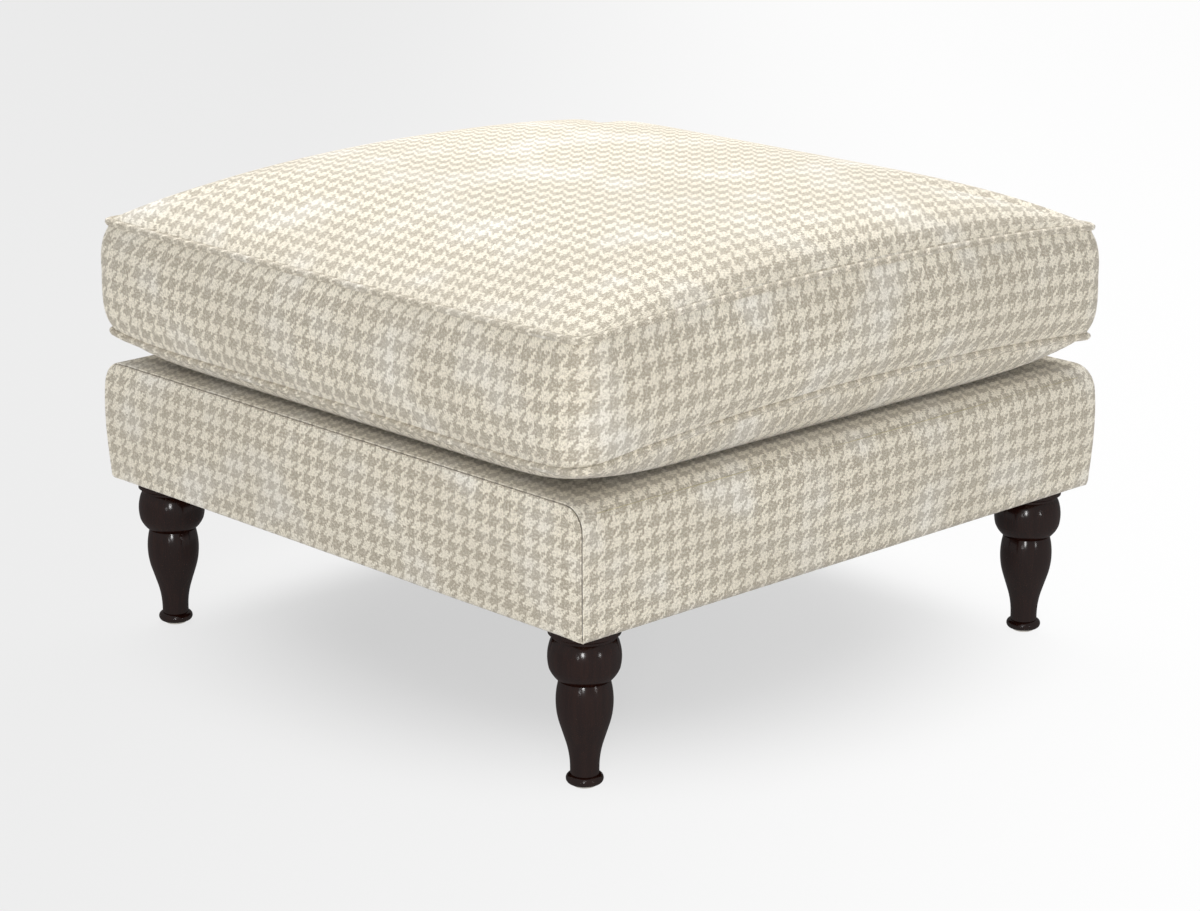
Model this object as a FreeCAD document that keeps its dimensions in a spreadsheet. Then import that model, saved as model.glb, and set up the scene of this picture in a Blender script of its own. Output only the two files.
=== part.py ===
"""Square upholstered footstool: turned legs, webbed hardwood frame, loose piped box cushion.

Millimetres, +Z up. The origin is on the floor under the middle of the stool. +X is the right-hand side,
-Y the front, and the cushion's zip is at the back, +Y.
"""
import FreeCAD, Part
import math
import os
from types import SimpleNamespace

import Sketcher

Vector = FreeCAD.Vector
Constraint = Sketcher.Constraint

# Driving dimensions, all in millimetres
SIZES = {
    # turned leg, heights counted along the leg
    "leg_height": 150.0,
    "glide_thickness": 2.5,
    "glide_radius": 11.0,
    "glide_edge": 0.8,
    "glide_nail_radius": 1.2,
    "glide_nail_length": 14.0,
    "foot_height": 8.5,
    "foot_radius": 16.7,
    "foot_base_radius": 14.0,
    "ankle_radius": 12.9,
    "ankle_height": 5.0,
    "vase_radius": 25.3,
    "neck_radius": 22.7,
    "ball_radius": 32.5,
    "ball_height": 39.2,
    "notch_radius": 28.0,
    "notch_height": 4.2,
    "collar_radius": 32.0,
    "collar_height": 8.5,
    "collar_edge": 1.0,
    # leg fixings
    "bolt_radius": 4.0,
    "bolt_in_leg": 40.0,
    "bolt_stand_out": 3.0,
    "fixing_gap": 0.1,
    "tee_wall": 1.1,
    "tee_barrel_length": 12.0,
    "tee_flange_width": 3.8,
    "tee_flange_thickness": 1.5,
    "tee_flange_gap": 1.0,
    # frame
    "frame_side": 661.0,
    "rail_thickness": 22.0,
    "rail_height": 86.0,
    "block_side": 100.0,
    "block_tip": 12.0,
    "block_height": 40.0,
    "dowel_radius": 4.0,
    "dowel_end_cover": 6.0,
    "dowel_in_end": 24.0,
    "dowel_spacing": 44.0,
    # webbing and deck
    "webbing_width": 50.0,
    "webbing_thickness": 1.6,
    "webbing_edge_gap": 63.5,
    "webbing_gap": 0.2,
    "webbing_margin": 4.0,
    "weave_flat": 2.0,
    "hessian_thickness": 0.8,
    "hessian_margin": 4.0,
    "deck_foam_thickness": 26.0,
    "wadding_thickness": 8.0,
    # base cover
    "cover_thickness": 1.5,
    "cover_edge_radius": 22.0,
    "cover_fold_radius": 1.5,
    "hem_width": 30.0,
    "hem_gap": 0.5,
    "dust_cover_thickness": 0.6,
    "dust_cover_margin": 12.0,
    # cushion
    "rest_gap": 0.3,
    "filling_gap": 0.3,
    "piping_radius": 3.5,
    "seam_gap": 0.2,
    "seam_draw": 6.0,
    "seam_corner_radius": 14.0,
    "border_height": 100.0,
    "border_bulge": 12.5,
    "border_corner_radius": 18.0,
    "crown_height": 60.0,
    "tuck_height": 34.7,
    "tuck_depth": 49.5,
    # zip
    "zip_inset": 60.0,
    "zip_panel_margin": 10.0,
    "zip_panel_gap": 0.4,
    "zip_slot_gap": 1.0,
    "zip_hem_width": 8.0,
    "zip_tape_width": 24.0,
    "zip_tape_thickness": 1.0,
    "zip_tape_overlap": 10.0,
    "zip_tape_gap": 0.2,
    "chain_root_width": 2.2,
    "chain_root_height": 0.9,
    "chain_head_width": 5.2,
    "chain_head_height": 1.7,
    "stop_width": 6.4,
    "stop_length": 3.0,
    "slider_length": 12.0,
    "slider_gap": 0.2,
    "slider_wall": 1.4,
    "slider_plate": 1.1,
    "bail_length": 6.4,
    "bail_width": 2.0,
    "bail_post": 1.0,
    "bail_gap": 1.3,
    "bail_thickness": 1.0,
    "pull_length": 26.0,
    "pull_width": 8.0,
    "pull_bar_radius": 0.45,
    "pull_window_length": 4.0,
    "pull_window_width": 5.2,
    "pull_corner_radius": 3.0,
}

# How many strips of webbing run each way
WEBBING_STRIPS = 5

# Taper of the leg between ankle and neck: (height share, radius share of ankle to vase)
VASE_HOLLOW_SHARES = ((0.161, 0.083), (0.323, 0.344))
VASE_SWELL_SHARES = ((0.5, 0.72), (0.767, 1.0))

# Ball of the leg between neck and notch: (height share, radius share of the ball)
BALL_SHARES = ((0.14, 0.862), (0.293, 0.962), (0.55, 1.0), (0.84, 0.952), (0.93, 0.915))

# Rounding of the base cover's side seams, as a share of the cloth's thickness
SEAM_EDGE_SHARE = 0.66

# Rings of the cushion's border: height share, and share of the bulge there
BORDER_SHARES = ((0.0, 0.0), (0.25, 0.75), (0.5, 1.0), (0.75, 0.75), (1.0, 0.0))

# Rings of the crown above the seam: height share, width share, corner radius share, draw share
CROWN_SHARES = ((0.25, 0.975, 0.256, 0.5), (0.5, 0.9, 0.4, 0.0), (0.8, 0.7, 0.428, 0.0),
                (0.95, 0.452, 0.31, 0.0), (0.99, 0.266, 0.188, 0.0))

# Rings of the tucked underside: angle share of the quarter turn, corner radius share, draw share
TUCK_SHARES = ((0.333, 0.12, 0.6), (0.667, 0.21, 0.2), (1.0, 0.28, 0.0))

doc = FreeCAD.newDocument("Footstool")
sheet = doc.addObject("Spreadsheet::Sheet", "Sizes")
for row, (alias, number) in enumerate(SIZES.items(), start=1):
    sheet.set("A%d" % row, alias)
    sheet.set("B%d" % row, str(number))
    sheet.setAlias("B%d" % row, alias)
doc.recompute()


class Size:
    """A length with its number and the expression that binds it to the sheet."""

    def __init__(self, value, text):
        self.value = value
        self.text = text

    def __add__(self, other):
        return joined(self, "+", other, self.value + number_of(other))

    def __sub__(self, other):
        return joined(self, "-", other, self.value - number_of(other))

    def __mul__(self, other):
        return joined(self, "*", other, self.value * number_of(other))

    def __rmul__(self, other):
        return joined(other, "*", self, self.value * number_of(other))

    def __truediv__(self, other):
        return joined(self, "/", other, self.value / number_of(other))

    def __neg__(self):
        return joined(0, "-", self, -self.value)


def number_of(item):
    return item.value if isinstance(item, Size) else float(item)


def text_of(item):
    return item.text if isinstance(item, Size) else repr(float(item))


def joined(first, sign, second, value):
    return Size(value, "(%s %s %s)" % (text_of(first), sign, text_of(second)))


def smaller(first, second):
    return Size(min(first.value, second.value), "min(%s; %s)" % (first.text, second.text))


size = SimpleNamespace(**{alias: Size(float(sheet.get(alias)), "Sizes." + alias) for alias in SIZES})

# Heights of the base, from the floor up
hem_bottom = size.leg_height + size.dust_cover_thickness
frame_bottom = hem_bottom + size.cover_thickness
rail_top = frame_bottom + size.rail_height
hessian_bottom = rail_top + 2 * size.webbing_thickness + 2 * size.webbing_gap
foam_bottom = hessian_bottom + size.hessian_thickness
foam_top = foam_bottom + size.deck_foam_thickness
deck_top = foam_top + size.cover_thickness
edge_radius = smaller(size.cover_edge_radius, size.deck_foam_thickness)

# Half widths of the base, from the frame out
frame_half = size.frame_side / 2
rail_inside = frame_half - size.rail_thickness
wadding_half = frame_half + size.wadding_thickness
base_half = wadding_half + size.cover_thickness

# Leg fixings, just inside the rails
bolt_hole = size.bolt_radius + size.fixing_gap
tee_barrel_radius = bolt_hole + size.tee_wall
tee_flange_radius = tee_barrel_radius + size.tee_flange_width
leg_place = rail_inside - tee_flange_radius - size.tee_flange_gap

# Heights and half widths of the cushion, cut to the base's plan; the seams lie on the pipings' centre lines
cushion_bottom = deck_top + size.rest_gap
seam_low = cushion_bottom + size.tuck_height
seam_high = seam_low + size.border_height
seam_space = size.piping_radius + size.seam_gap
border_low = seam_low + seam_space
border_high = seam_high - seam_space
border_middle = (seam_low + seam_high) / 2
crown_base = seam_high + seam_space
crown_rise = size.crown_height - seam_space
tuck_top = seam_low - seam_space
piping_half = base_half - size.piping_radius
seam_half = piping_half - size.piping_radius + size.cover_thickness
contact_half = seam_half - size.tuck_depth

# Zip: its length, how far it stands out of its tape, and the tape's outer face behind the folded hems
zip_half = base_half - size.zip_inset
tape_half = zip_half + size.zip_tape_overlap
zip_panel_half = tape_half + size.zip_panel_margin
slider_rise = (size.chain_root_height + size.chain_head_height + size.slider_gap
               + size.slider_plate + size.bail_gap + size.bail_thickness)
zip_set_back = slider_rise - 2 * size.cover_thickness - size.zip_tape_gap
border_back = seam_half + size.border_bulge - zip_set_back
hem_inside = border_back - 2 * size.cover_thickness
tape_face = hem_inside - size.zip_tape_gap
slider_half = size.chain_head_width / 2 + size.slider_gap + size.slider_wall
slot_half = slider_half + size.zip_slot_gap
slider_place = zip_half - size.slider_length / 2 - size.slider_gap


# Helpers for bound sizes and places
def bind(thing, **properties):
    """Binds properties such as Length to sizes."""
    for name, item in properties.items():
        thing.setExpression(name, text_of(item))


def put(thing, x=0, y=0, z=0, turn=0.0, about=Vector(0, 0, 1)):
    """Places an object, turned by a whole angle about an axis, at a bound point."""
    thing.Placement = FreeCAD.Placement(Vector(), FreeCAD.Rotation(about, turn))
    for name, item in (("x", x), ("y", y), ("z", z)):
        if isinstance(item, Size):
            thing.setExpression("Placement.Base." + name, item.text)


def body(name):
    new_body = doc.addObject("PartDesign::Body", name)
    new_body.Label = name
    return new_body


def via(x, y):
    """Marks a point in the middle of an arc of an outline."""
    return (x, y, "via")


def outline(owner, name, role, points):
    """Sketch of a closed outline; every corner and arc point is bound to sizes."""
    plane = [item for item in owner.Origin.OriginFeatures if item.Role == role][0]
    sketch = owner.newObject("Sketcher::SketchObject", name)
    sketch.AttachmentSupport = [(plane, "")]
    sketch.MapMode = "FlatFace"
    spots = [Vector(number_of(point[0]), number_of(point[1]), 0) for point in points]
    count = len(points)
    steps = []
    for index, point in enumerate(points):
        if len(point) == 3:
            continue
        after = (index + 1) % count
        if len(points[after]) == 3:
            steps.append((index, after, (index + 2) % count))
        else:
            steps.append((index, None, after))
    ends = []
    for start, middle, stop in steps:
        if middle is None:
            line = sketch.addGeometry(Part.LineSegment(spots[start], spots[stop]))
            ends.append((line, 1, 2))
        else:
            arc = sketch.addGeometry(Part.Arc(spots[start], spots[middle], spots[stop]))
            to_start = (sketch.getPoint(arc, 1) - spots[start]).Length
            to_stop = (sketch.getPoint(arc, 1) - spots[stop]).Length
            ends.append((arc, 1, 2) if to_start < to_stop else (arc, 2, 1))
    for index, (start, middle, stop) in enumerate(steps):
        curve, first, last = ends[index]
        next_curve, next_first, next_last = ends[(index + 1) % len(steps)]
        fix_point(sketch, curve, first, points[start])
        sketch.addConstraint(Constraint("Coincident", curve, last, next_curve, next_first))
        if middle is not None:
            dot = sketch.addGeometry(Part.Point(spots[middle]), True)
            fix_point(sketch, dot, 1, points[middle])
            sketch.addConstraint(Constraint("PointOnObject", dot, 1, curve))
    return sketch


def fix_point(sketch, curve, end, point):
    """Holds one end of a curve at a bound point, or on the axis where a coordinate is zero."""
    for kind, item, axis in (("DistanceX", point[0], -2), ("DistanceY", point[1], -1)):
        if isinstance(item, Size):
            index = sketch.addConstraint(Constraint(kind, -1, 1, curve, end, item.value))
            sketch.setExpression("Constraints[%d]" % index, item.text)
        else:
            sketch.addConstraint(Constraint("PointOnObject", curve, end, axis))


def circle(owner, name, role, x, y, radius, lift=None):
    """Sketch of one bound circle."""
    plane = [item for item in owner.Origin.OriginFeatures if item.Role == role][0]
    sketch = owner.newObject("Sketcher::SketchObject", name)
    sketch.AttachmentSupport = [(plane, "")]
    sketch.MapMode = "FlatFace"
    if lift is not None:
        sketch.setExpression("AttachmentOffset.Base.z", text_of(lift))
    middle = Vector(number_of(x), number_of(y), 0)
    curve = sketch.addGeometry(Part.Circle(middle, Vector(0, 0, 1), radius.value))
    fix_point(sketch, curve, 3, (x, y))
    index = sketch.addConstraint(Constraint("Radius", curve, radius.value))
    sketch.setExpression("Constraints[%d]" % index, radius.text)
    return sketch


def pad(owner, sketch, length, middle=False, reverse=False):
    feature = owner.newObject("PartDesign::Pad", sketch.Name + "_pad")
    feature.Profile = sketch
    bind(feature, Length=length)
    feature.SideType = "Symmetric" if middle else "One side"
    feature.Reversed = reverse
    return feature


def pocket(owner, sketch, length, middle=False, reverse=False):
    feature = owner.newObject("PartDesign::Pocket", sketch.Name + "_pocket")
    feature.Profile = sketch
    bind(feature, Length=length)
    feature.SideType = "Symmetric" if middle else "One side"
    feature.Reversed = reverse
    return feature


def turned(name, points):
    """Body turned about the upright axis from a half outline in the XZ plane."""
    owner = body(name)
    sketch = outline(owner, name + "_outline", "XZ_Plane", points)
    feature = owner.newObject("PartDesign::Revolution", name + "_turning")
    feature.Profile = sketch
    feature.ReferenceAxis = (sketch, ["V_Axis"])
    feature.Angle = 360
    return owner


def same(number, item):
    """Whether a measured coordinate lies at a size."""
    return math.isclose(number, item.value, rel_tol=1e-6)


def rounded_edges(owner, name, radius, chosen):
    """Fillet on the edges that the test picks from the body's last shape."""
    doc.recompute()
    base = owner.Tip
    names = ["Edge%d" % (index + 1) for index, edge in enumerate(base.Shape.Edges) if chosen(edge)]
    feature = owner.newObject("PartDesign::Fillet", name)
    feature.Base = (base, names)
    bind(feature, Radius=radius)
    return feature


def box(name, length, width, height, x, y, z):
    """Box between bound corners, counted from its lowest corner."""
    solid = doc.addObject("Part::Box", name)
    solid.Label = name
    bind(solid, Length=length, Width=width, Height=height)
    put(solid, x, y, z)
    return solid


def rod(name, radius, length, x, y, z, turn=0.0, about=Vector(0, 0, 1)):
    solid = doc.addObject("Part::Cylinder", name)
    bind(solid, Radius=radius, Height=length)
    put(solid, x, y, z, turn, about)
    return solid


def bored(name, solid, tools):
    """The solid with every tool cut out of it."""
    solid.Label = name + "_blank"
    group = doc.addObject("Part::Compound", name + "_bores")
    group.Links = tools
    result = doc.addObject("Part::Cut", name + "_bored")
    result.Base = solid
    result.Tool = group
    result.Label = name
    return result


def gathered(name, solids):
    """One node that holds several alike solids."""
    group = doc.addObject("Part::Compound", name + "_group")
    group.Links = solids
    group.Label = name
    return group


def feature_of(name, shape):
    thing = doc.addObject("Part::Feature", name)
    thing.Label = name
    thing.Shape = shape
    return thing


SUBPARTS = []
CORNERS = (("back_right", 1, 1, 0.0), ("back_left", -1, 1, 90.0),
           ("front_left", -1, -1, 180.0), ("front_right", 1, -1, 270.0))
AXIS_X = Vector(1, 0, 0)
ARC_SHARE = 1 - math.sqrt(0.5)


# Turned legs: foot bead, ankle, vase, V-cut neck, ball, cove and collar
foot_top = size.glide_thickness + size.foot_height
ankle_top = foot_top + size.ankle_height
collar_bottom = size.leg_height - size.collar_height
notch_level = collar_bottom - size.notch_height
neck_level = notch_level - size.ball_height
vase_length = neck_level - ankle_top
vase_swell = size.vase_radius - size.ankle_radius
nail_hole = size.glide_nail_radius + size.fixing_gap
nail_end = size.glide_thickness + size.glide_nail_length + size.fixing_gap
bolt_end = size.leg_height - size.bolt_in_leg


def on_vase(share):
    return (size.ankle_radius + share[1] * vase_swell, ankle_top + share[0] * vase_length)


def on_ball(share):
    return (share[1] * size.ball_radius, neck_level + share[0] * size.ball_height)


leg_outline = [
    (nail_hole, size.glide_thickness),
    (size.foot_base_radius, size.glide_thickness),
    via(size.foot_radius, size.glide_thickness + size.foot_height / 2),
    (size.ankle_radius, foot_top),
    (size.ankle_radius, ankle_top),
    via(*on_vase(VASE_HOLLOW_SHARES[0])),
    on_vase(VASE_HOLLOW_SHARES[1]),
    on_vase(VASE_SWELL_SHARES[0]),
    via(*on_vase(VASE_SWELL_SHARES[1])),
    (size.neck_radius, neck_level),
    via(*on_ball(BALL_SHARES[0])),
    on_ball(BALL_SHARES[1]),
    via(*on_ball(BALL_SHARES[2])),
    on_ball(BALL_SHARES[3]),
    via(*on_ball(BALL_SHARES[4])),
    (size.notch_radius, notch_level),
    (size.notch_radius, collar_bottom - size.notch_height / 2),
    (size.collar_radius, collar_bottom),
    (size.collar_radius, size.leg_height - size.collar_edge),
    (size.collar_radius - size.collar_edge, size.leg_height),
    (bolt_hole, size.leg_height),
    (bolt_hole, bolt_end),
    (0, bolt_end),
    (0, nail_end),
    (nail_hole, nail_end),
]
for corner, side, depth, turn in CORNERS:
    leg = turned("leg_" + corner, leg_outline)
    put(leg, side * leg_place, depth * leg_place, 0)
    SUBPARTS.append(leg)

# Nail-in glides under the feet
glide_outline = [
    (0, 0),
    (size.glide_radius - size.glide_edge, 0),
    (size.glide_radius, size.glide_edge),
    (size.glide_radius, size.glide_thickness),
    (size.glide_nail_radius, size.glide_thickness),
    (size.glide_nail_radius, size.glide_thickness + size.glide_nail_length),
    (0, size.glide_thickness + size.glide_nail_length),
]
for corner, side, depth, turn in CORNERS:
    glide = turned("glide_" + corner, glide_outline)
    put(glide, side * leg_place, depth * leg_place, 0)
    SUBPARTS.append(glide)

# Hanger bolts, up through the blocks and their tee nuts
block_top = frame_bottom + size.block_height
bolt_top = block_top + size.tee_flange_thickness + size.bolt_stand_out
bolts = []
for corner, side, depth, turn in CORNERS:
    bolts.append(rod("bolt_" + corner, size.bolt_radius, bolt_top - bolt_end,
                     side * leg_place, depth * leg_place, bolt_end))
SUBPARTS.append(gathered("leg_bolts", bolts))

# Tee nuts: a barrel let into the top of each block, under a round flange
nuts = []
for corner, side, depth, turn in CORNERS:
    x, y = side * leg_place, depth * leg_place
    barrel = rod("nut_barrel_" + corner, tee_barrel_radius, size.tee_barrel_length,
                 x, y, block_top - size.tee_barrel_length)
    flange = rod("nut_flange_" + corner, tee_flange_radius, size.tee_flange_thickness, x, y, block_top)
    blank = doc.addObject("Part::Fuse", "nut_blank_" + corner)
    blank.Base = barrel
    blank.Tool = flange
    bore = rod("nut_bore_" + corner, bolt_hole, size.tee_barrel_length + size.tee_flange_thickness,
               x, y, block_top - size.tee_barrel_length)
    nut = doc.addObject("Part::Cut", "nut_" + corner)
    nut.Base = blank
    nut.Tool = bore
    nuts.append(nut)
SUBPARTS.append(gathered("tee_nuts", nuts))

# Corner blocks: a triangular block with clipped tips, bored for the bolt and the tee nut
for corner, side, depth, turn in CORNERS:
    block = body("corner_block_" + corner)
    far_end = rail_inside - size.block_side
    clip = rail_inside - size.block_tip
    triangle = outline(block, "block_outline_" + corner, "XY_Plane",
                       [(rail_inside, rail_inside), (far_end, rail_inside), (far_end, clip),
                        (clip, far_end), (rail_inside, far_end)])
    pad(block, triangle, size.block_height)
    doc.recompute()
    bolt_way = circle(block, "bolt_way_" + corner, "XY_Plane", leg_place, leg_place, bolt_hole)
    pocket(block, bolt_way, 2 * size.block_height, middle=True)
    doc.recompute()
    nut_seat = circle(block, "nut_seat_" + corner, "XY_Plane", leg_place, leg_place,
                      tee_barrel_radius + size.fixing_gap, size.block_height)
    pocket(block, nut_seat, size.tee_barrel_length + size.fixing_gap)
    put(block, 0, 0, frame_bottom, turn)
    SUBPARTS.append(block)

# Rails and dowels: the side rails butt between the front and back rails
dowel_line = frame_half - size.rail_thickness / 2
dowel_in_rail = size.rail_thickness - size.dowel_end_cover
dowel_length = dowel_in_rail + size.dowel_in_end
dowel_levels = (frame_bottom + (size.rail_height - size.dowel_spacing) / 2,
                frame_bottom + (size.rail_height + size.dowel_spacing) / 2)
dowels = []
dowel_holes = {}
for side_name, side in (("left", -1), ("right", 1)):
    for end_name, depth in (("front", -1), ("back", 1)):
        for level_index, level in enumerate(dowel_levels):
            tag = "_%s_%s_%d" % (side_name, end_name, level_index)
            start = rail_inside - size.dowel_in_end
            if depth < 0:
                start = -(rail_inside + dowel_in_rail)
            dowels.append(rod("dowel" + tag, size.dowel_radius, dowel_length,
                              side * dowel_line, start, level, -90, AXIS_X))
            for owner_name in (side_name, end_name):
                hole = rod("hole_%s%s" % (owner_name, tag), size.dowel_radius + size.fixing_gap,
                           dowel_length + 2 * size.fixing_gap, side * dowel_line,
                           start - size.fixing_gap, level, -90, AXIS_X)
                dowel_holes.setdefault(owner_name, []).append(hole)
for end_name, depth in (("front", -1), ("back", 1)):
    y = rail_inside if depth > 0 else -frame_half
    rail = box("rail_%s_blank" % end_name, size.frame_side, size.rail_thickness, size.rail_height,
               -frame_half, y, frame_bottom)
    SUBPARTS.append(bored("rail_" + end_name, rail, dowel_holes[end_name]))
for side_name, side in (("left", -1), ("right", 1)):
    x = rail_inside if side > 0 else -frame_half
    rail = box("rail_%s_blank" % side_name, size.rail_thickness, 2 * rail_inside, size.rail_height,
               x, -rail_inside, frame_bottom)
    SUBPARTS.append(bored("rail_" + side_name, rail, dowel_holes[side_name]))
SUBPARTS.append(gathered("rail_dowels", dowels))

# Webbing: strips interlaced over and under each other, tacked on top of the rails
strip_end = frame_half - size.webbing_margin
webbing_pitch = (2 * (rail_inside - size.webbing_edge_gap) - size.webbing_width) / (WEBBING_STRIPS - 1)
strip_rise = size.webbing_thickness + size.webbing_gap
flat_half = size.webbing_width / 2 + size.weave_flat


def webbing_strip(name, first_over, offset, turn):
    """One strip; it passes over every second strip of the other set and lies level on the rails."""
    path = [(-strip_end, 0)]
    for index in range(WEBBING_STRIPS):
        middle = (index - (WEBBING_STRIPS - 1) / 2) * webbing_pitch
        over = (index % 2 == 0) == first_over
        if over:
            before = middle - webbing_pitch + flat_half if index > 0 else -rail_inside
            after = middle + webbing_pitch - flat_half if index < WEBBING_STRIPS - 1 else rail_inside
            path += [(before, 0), (middle - flat_half, 1), (middle + flat_half, 1), (after, 0)]
    path.append((strip_end, 0))
    lower = [(x, strip_rise if level else 0) for x, level in path]
    upper = [(x, strip_rise + size.webbing_thickness if level else size.webbing_thickness)
             for x, level in path]
    strip = body(name)
    section = outline(strip, name + "_outline", "XZ_Plane", lower + upper[::-1])
    pad(strip, section, size.webbing_width, middle=True)
    if turn:
        put(strip, offset, 0, rail_top, turn)
    else:
        put(strip, 0, offset, rail_top)
    return strip


for index in range(WEBBING_STRIPS):
    place = (index - (WEBBING_STRIPS - 1) / 2) * webbing_pitch
    SUBPARTS.append(webbing_strip("webbing_across_%d" % (index + 1), index % 2 == 0, place, 0.0))
    SUBPARTS.append(webbing_strip("webbing_along_%d" % (index + 1), index % 2 == 1, place, 90.0))

# Hessian sheet over the webbing
hessian_half = frame_half - size.hessian_margin
SUBPARTS.append(box("hessian", 2 * hessian_half, 2 * hessian_half, size.hessian_thickness,
                    -hessian_half, -hessian_half, hessian_bottom))

# Deck foam, rounded over at the front and back edges
foam_radius = edge_radius - size.cover_thickness
foam_turn = foam_radius * ARC_SHARE
foam = body("deck_foam")
foam_section = outline(foam, "deck_foam_outline", "YZ_Plane", [
    (-wadding_half, foam_bottom),
    (-wadding_half, foam_top - foam_radius),
    via(-wadding_half + foam_turn, foam_top - foam_turn),
    (-wadding_half + foam_radius, foam_top),
    (wadding_half - foam_radius, foam_top),
    via(wadding_half - foam_turn, foam_top - foam_turn),
    (wadding_half, foam_top - foam_radius),
    (wadding_half, foam_bottom),
])
pad(foam, foam_section, 2 * wadding_half, middle=True)
SUBPARTS.append(foam)

# Wadding strips on the outside of the rails, clear of the cover's bottom fold
wadding_bottom = frame_bottom + size.cover_fold_radius
wadding_height = foam_bottom - wadding_bottom
for end_name, y in (("front", -wadding_half), ("back", frame_half)):
    SUBPARTS.append(box("rail_wadding_" + end_name, 2 * wadding_half, size.wadding_thickness, wadding_height,
                        -wadding_half, y, wadding_bottom))
for side_name, x in (("left", -wadding_half), ("right", frame_half)):
    SUBPARTS.append(box("rail_wadding_" + side_name, size.wadding_thickness, size.frame_side, wadding_height,
                        x, -frame_half, wadding_bottom))


# Base cover: one length of cloth from the front hem over the deck to the back hem
def cover_outline(half, low, top, radius, fold):
    """Points from the bottom of the front round the top to the bottom of the back."""
    turn = radius * ARC_SHARE
    bend = fold * ARC_SHARE
    return [
        (-(half - fold), low),
        via(-(half - bend), low + bend),
        (-half, low + fold),
        (-half, top - radius),
        via(-(half - turn), top - turn),
        (-(half - radius), top),
        (half - radius, top),
        via(half - turn, top - turn),
        (half, top - radius),
        (half, low + fold),
        via(half - bend, low + bend),
        (half - fold, low),
    ]


hem_end = base_half - size.hem_width
outer_cover = cover_outline(base_half, hem_bottom, deck_top, edge_radius,
                            size.cover_fold_radius + size.cover_thickness)
inner_cover = cover_outline(wadding_half, frame_bottom, foam_top, foam_radius, size.cover_fold_radius)
cover = body("base_cover")
cover_section = outline(cover, "base_cover_outline", "YZ_Plane",
                        [(-hem_end, hem_bottom)] + outer_cover + [(hem_end, hem_bottom), (hem_end, frame_bottom)]
                        + inner_cover[::-1] + [(-hem_end, frame_bottom)])
pad(cover, cover_section, 2 * wadding_half, middle=True)
seam_edge = SEAM_EDGE_SHARE * size.cover_thickness


def is_seam_edge(edge, reach):
    """Edges of the cover's outer skin, down both sides and round the top, at a distance from its middle."""
    bounds = edge.BoundBox
    at_end = same(abs(bounds.XMin), reach) and same(abs(bounds.XMax), reach)
    at_side = same(abs(bounds.YMin), base_half) or same(abs(bounds.YMax), base_half)
    return at_end and (at_side or same(bounds.ZMax, deck_top)) and bounds.ZMax > frame_bottom.value


rounded_edges(cover, "base_cover_seam", seam_edge, lambda edge: is_seam_edge(edge, wadding_half))
SUBPARTS.append(cover)

# Side facings, sewn to the cover round their edge, with a hem turned under the frame
for side_name, side in (("left", -1), ("right", 1)):
    facing = body("facing_" + side_name)
    plate = outline(facing, "facing_outline_" + side_name, "YZ_Plane", outer_cover)
    pad(facing, plate, size.cover_thickness, reverse=side < 0)
    rounded_edges(facing, "facing_seam_" + side_name, seam_edge,
                  lambda edge: is_seam_edge(edge, size.cover_thickness))
    hem = outline(facing, "facing_hem_" + side_name, "XZ_Plane", [
        (0, hem_bottom),
        (-side * (size.hem_width - size.cover_thickness), hem_bottom),
        (-side * (size.hem_width - size.cover_thickness), frame_bottom),
        (0, frame_bottom),
    ])
    pad(facing, hem, 2 * (hem_end - size.hem_gap), middle=True)
    put(facing, side * wadding_half, 0, 0)
    SUBPARTS.append(facing)

# Dust cover under the frame, with a hole for each leg bolt
dust_half = base_half - size.dust_cover_margin
dust = box("dust_cover_blank", 2 * dust_half, 2 * dust_half, size.dust_cover_thickness,
           -dust_half, -dust_half, size.leg_height)
dust_holes = []
for corner, side, depth, turn in CORNERS:
    dust_holes.append(rod("dust_hole_" + corner, bolt_hole, size.dust_cover_thickness,
                          side * leg_place, depth * leg_place, size.leg_height))
SUBPARTS.append(bored("dust_cover", dust, dust_holes))


# Cushion forms: stacked rings with drawn-in sides, lofted into closed shapes
def ring(level, half, draw, corner, back=0.0):
    """Closed outline at one level: sides drawn in by draw between round corners; back flattens +Y."""
    half_depth = half - back / 2
    shift = -back / 2
    sides = []
    for quarter in range(4):
        along, across = (half, half_depth) if quarter % 2 == 0 else (half_depth, half)
        reach = along - corner
        inner = across - corner
        tangent = reach
        drop = across
        if draw > 0:
            bow = (reach ** 2 - 2 * corner * draw + draw ** 2) / (2 * draw)
            share = bow / (bow + corner)
            tangent = reach * share
            drop = across - draw + bow - (bow + corner - draw) * share
        turn = FreeCAD.Rotation(Vector(0, 0, 1), 90 * quarter)
        move = Vector(0, shift, level)
        diagonal = corner * math.sqrt(0.5)
        start = turn.multVec(Vector(-tangent, -drop, 0)) + move
        middle = turn.multVec(Vector(0, -(across - draw), 0)) + move
        stop = turn.multVec(Vector(tangent, -drop, 0)) + move
        bend = turn.multVec(Vector(reach + diagonal, -(inner + diagonal), 0)) + move
        sides.append((start, middle, stop, bend))
    edges = []
    for quarter, (start, middle, stop, bend) in enumerate(sides):
        if draw > 0:
            edges.append(Part.Arc(start, middle, stop).toShape())
        else:
            edges.append(Part.LineSegment(start, stop).toShape())
        next_start = sides[(quarter + 1) % 4][0]
        edges.append(Part.Arc(stop, bend, next_start).toShape())
    return Part.Wire(edges)


def border_form(inset):
    """Boxed middle of the cushion, bulging between its seams."""
    rings = []
    for height, bulge in BORDER_SHARES:
        corner = size.seam_corner_radius + bulge * (size.border_corner_radius - size.seam_corner_radius)
        rings.append(ring((border_low + height * (border_high - border_low)).value,
                          (seam_half + bulge * size.border_bulge).value - inset,
                          (size.seam_draw * (1 - bulge)).value,
                          corner.value - inset,
                          (bulge * zip_set_back).value))
    return Part.makeLoft(rings, True, False)


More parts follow.
